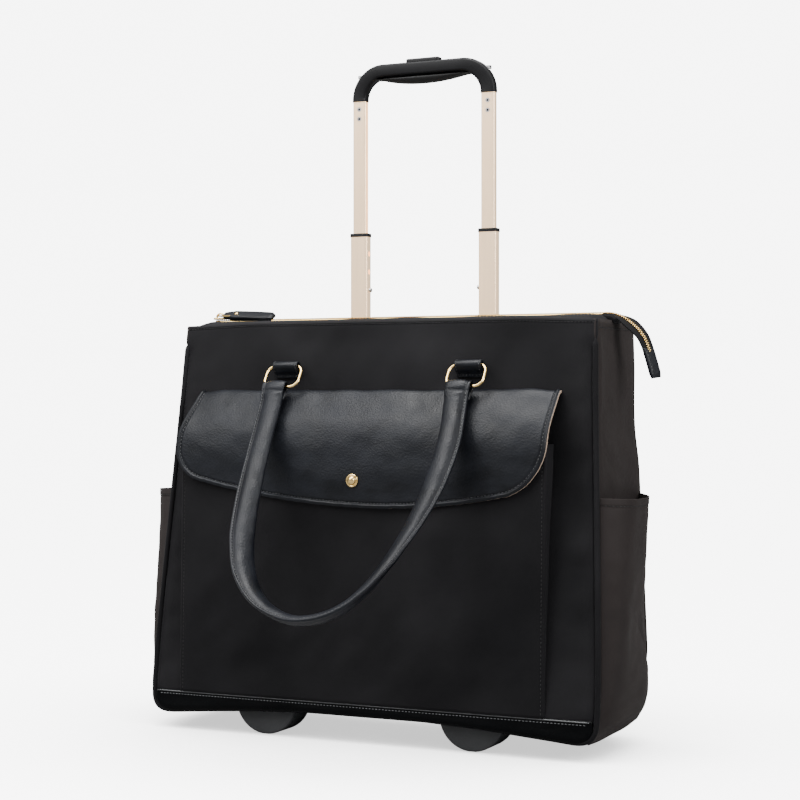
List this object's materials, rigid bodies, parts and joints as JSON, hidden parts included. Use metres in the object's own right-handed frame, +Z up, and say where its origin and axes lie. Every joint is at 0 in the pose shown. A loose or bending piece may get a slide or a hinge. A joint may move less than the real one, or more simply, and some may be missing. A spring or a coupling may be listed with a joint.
{
  "type": "rolling laptop case",
  "caption": "Soft wheeled laptop tote with a flap pocket, long carry handles, a zipped top and a two-stage pull-out trolley handle.",
  "frame": {"origin": "bottom centre of the envelope, on the floor; the bag's own middle plane is X = 0 to within 4 mm", "axes": "+Z up, +X to the bag's right as seen from the front, +Y from the front towards the trolley handle"},
  "size_m": [0.4991, 0.3324, 0.6503],
  "materials": {
    "nylon": "woven nylon, matt, near black",
    "leather": "smooth black leather with a soft sheen",
    "lining": "dark grey lining over foam",
    "gold_metal": "polished light gold plating",
    "champagne_aluminium": "satin champagne anodising",
    "black_plastic": "fine-grained black moulding",
    "grey_plastic": "dark grey moulding",
    "soft_grip": "soft-touch black",
    "tyre": "black rubber",
    "steel": "bright zinc-plated steel",
    "board": "black sheet plastic",
    "zip_tape": "black zip tape"
  },
  "bodies": {
    "case": {"front_panel": "nylon", "gusset_left": "nylon", "gusset_right": "nylon", "bottom_panel": "nylon", "back_panel": "nylon", "top_strip": "nylon", "base_board": "board", "front_base_trim": "leather", "front_piping": "nylon", "back_piping": "nylon", "laptop_divider": "lining", "back_board": "board", "pocket_panel": "nylon", "pocket_gusset": "nylon", "flap_shoulder": "leather", "snap_socket": "steel", "side_pocket_left": "nylon", "side_pocket_right": "nylon", "zip_tail": "zip_tape", "tail_tab": "leather", "ring_tabs": "leather", "outer_tubes": "champagne_aluminium", "handle_bezel": "black_plastic", "bezel_plate": "black_plastic", "bezel_screws": "steel", "tube_bracket": "black_plastic", "wheel_housings": "black_plastic", "axles": "steel", "front_feet": "black_plastic", "foot_screws": "steel"},
    "flap": {"pocket_flap": "leather", "flap_stud": "gold_metal"},
    "front_leaf": {"zip_leaf_front": "nylon", "zip_teeth_front": "gold_metal"},
    "rear_leaf": {"zip_leaf_rear": "nylon", "zip_teeth_rear": "gold_metal"},
    "slider": {"zip_slider": "gold_metal"},
    "pull": {"pull_ring": "gold_metal", "zip_pull": "leather"},
    "front_ring_pair": {"front_rings": "gold_metal"},
    "front_handle": {"front_strap": "leather"},
    "rear_ring_pair": {"rear_rings": "gold_metal"},
    "rear_handle": {"rear_strap": "leather"},
    "lower_stage": {"lower_tube_left": "champagne_aluminium", "lower_tube_right": "champagne_aluminium", "collars": "black_plastic"},
    "pin_left": {"stop_pin_left": "steel"},
    "pin_right": {"stop_pin_right": "steel"},
    "upper_stage": {"upper_tube_left": "champagne_aluminium", "upper_tube_right": "champagne_aluminium", "grip_screws": "steel", "grip_shell": "black_plastic", "grip_pad": "soft_grip", "release_springs": "steel"},
    "release": {"release_button": "black_plastic", "release_link": "steel"},
    "wheel_left": {"wheel_hub_left": "grey_plastic", "tyre_left": "tyre"},
    "wheel_right": {"wheel_hub_right": "grey_plastic", "tyre_right": "tyre"}
  },
  "joints": [
    {"name": "lower_stage_slide", "type": "slide", "parent": "case", "child": "lower_stage", "axis": [0, 0, 1], "range_m": [-0.0855, 0.158]},
    {"name": "upper_stage_slide", "type": "slide", "parent": "lower_stage", "child": "upper_stage", "axis": [0, 0, 1], "range_m": [-0.131, 0.122]},
    {"name": "release_press", "type": "slide", "parent": "upper_stage", "child": "release", "axis": [0, 0, -1], "range_m": [0, 0.0025], "stiffness_N_per_m": 700, "springref_m": -0.003, "deforming": ["release_springs"]},
    {"name": "pin_left_slide", "type": "slide", "parent": "lower_stage", "child": "pin_left", "axis": [-1, 0, 0], "range_m": [0, 0.0015]},
    {"name": "pin_right_slide", "type": "slide", "parent": "lower_stage", "child": "pin_right", "axis": [1, 0, 0], "range_m": [0, 0.0015]},
    {"name": "wheel_left_spin", "type": "hinge", "parent": "case", "child": "wheel_left", "pos_m": [-0.15, 0.085, 0.032], "axis": [1, 0, 0], "continuous": true},
    {"name": "wheel_right_spin", "type": "hinge", "parent": "case", "child": "wheel_right", "pos_m": [0.15, 0.085, 0.032], "axis": [1, 0, 0], "continuous": true},
    {"name": "flap_hinge", "type": "hinge", "parent": "case", "child": "flap", "pos_m": [0, -0.03787, 0.28804], "axis": [-1, 0, 0], "range_deg": [0, 30]},
    {"name": "front_ring_hinge", "type": "hinge", "parent": "case", "child": "front_ring_pair", "pos_m": [0, -0.01007, 0.347], "axis": [-1, 0, 0], "range_deg": [-2, 115]},
    {"name": "front_handle_hinge", "type": "hinge", "parent": "front_ring_pair", "child": "front_handle", "pos_m": [0, -0.02349, 0.3271], "axis": [-1, 0, 0], "range_deg": [0, 30]},
    {"name": "rear_ring_hinge", "type": "hinge", "parent": "case", "child": "rear_ring_pair", "pos_m": [0, 0.1195, 0.347], "axis": [1, 0, 0], "range_deg": [-4, 115]},
    {"name": "rear_handle_hinge", "type": "hinge", "parent": "rear_ring_pair", "child": "rear_handle", "pos_m": [0, 0.12325, 0.3233], "axis": [1, 0, 0], "range_deg": [0, 30]},
    {"name": "front_leaf_hinge", "type": "hinge", "parent": "case", "child": "front_leaf", "pos_m": [0, 0.008, 0.3874], "axis": [1, 0, 0], "range_deg": [0, 80]},
    {"name": "rear_leaf_hinge", "type": "hinge", "parent": "case", "child": "rear_leaf", "pos_m": [0, 0.086, 0.3874], "axis": [-1, 0, 0], "range_deg": [0, 80]},
    {"name": "slider_travel", "type": "slide", "parent": "front_leaf", "child": "slider", "axis": [1, 0, 0], "range_m": [0, 0.4]},
    {"name": "pull_hinge", "type": "hinge", "parent": "slider", "child": "pull", "pos_m": [-0.203, 0.052, 0.39885], "axis": [0, -1, 0], "range_deg": [0, 165]}
  ],
  "couplings": [
    {"joint": "rear_leaf_hinge", "follows": "front_leaf_hinge", "ratio": 1},
    {"joint": "pin_left_slide", "follows": "release_press", "ratio": 0.6},
    {"joint": "pin_right_slide", "follows": "release_press", "ratio": 0.6}
  ]
}
